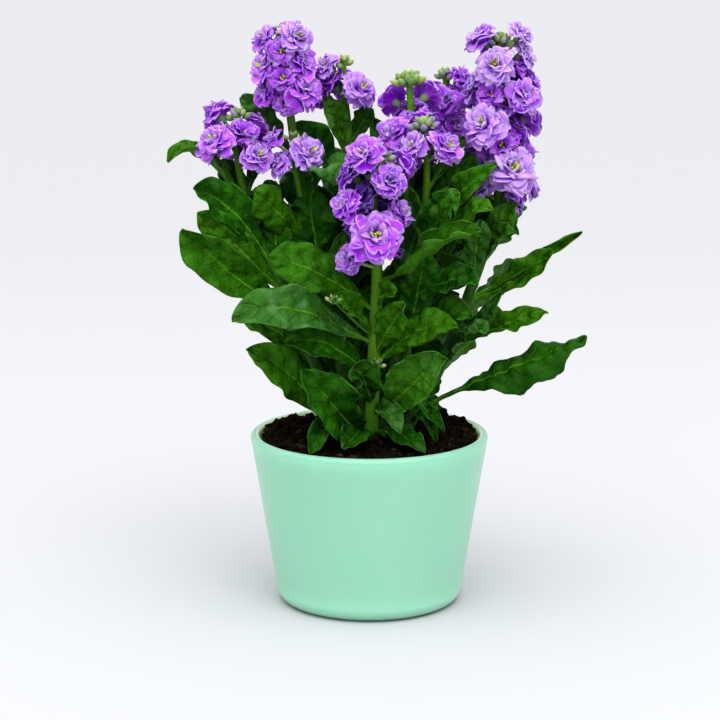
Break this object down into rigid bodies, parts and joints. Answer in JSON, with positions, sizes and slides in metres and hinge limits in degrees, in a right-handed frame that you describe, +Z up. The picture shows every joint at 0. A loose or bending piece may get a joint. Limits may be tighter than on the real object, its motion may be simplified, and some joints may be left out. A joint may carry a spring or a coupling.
{
  "type": "potted stock flower",
  "caption": "Stock plant with leafy stems and heads of double violet flowers, in soil in a pale green tapered pot; stands on its flat base.",
  "frame": {"origin": "centre of the pot's flat underside, where it rests on a surface", "axes": "+Z up along the pot's axis, -Y towards the front that the picture shows, +X to the right"},
  "size_m": [0.225, 0.1514, 0.3192],
  "materials": {
    "pot_glaze": "smooth glossy glaze, pale mint green",
    "soil": "dark crumbly potting soil",
    "leaf": "satin grey-green leaf with a lighter midrib",
    "petal": "soft matt violet petal, paler towards its foot"
  },
  "bodies": {
    "root": {"pot": "pot_glaze", "soil": "soil", "leafy_stem_front": "leaf", "leafy_stem_right": "leaf", "leafy_stem_lefttall": "leaf", "leafy_stem_leftlow": "leaf", "leafy_stem_mid": "leaf", "leafy_stem_centre": "leaf", "leafy_stem_back": "leaf", "leafy_stem_low": "leaf", "flower_head_front": "petal", "flower_head_right": "petal", "flower_head_lefttall": "petal", "flower_head_leftlow": "petal", "flower_head_leftside": "petal", "flower_head_mid": "petal", "flower_head_centre": "petal", "flower_head_back": "petal", "flower_head_low": "petal"}
  },
  "joints": []
}
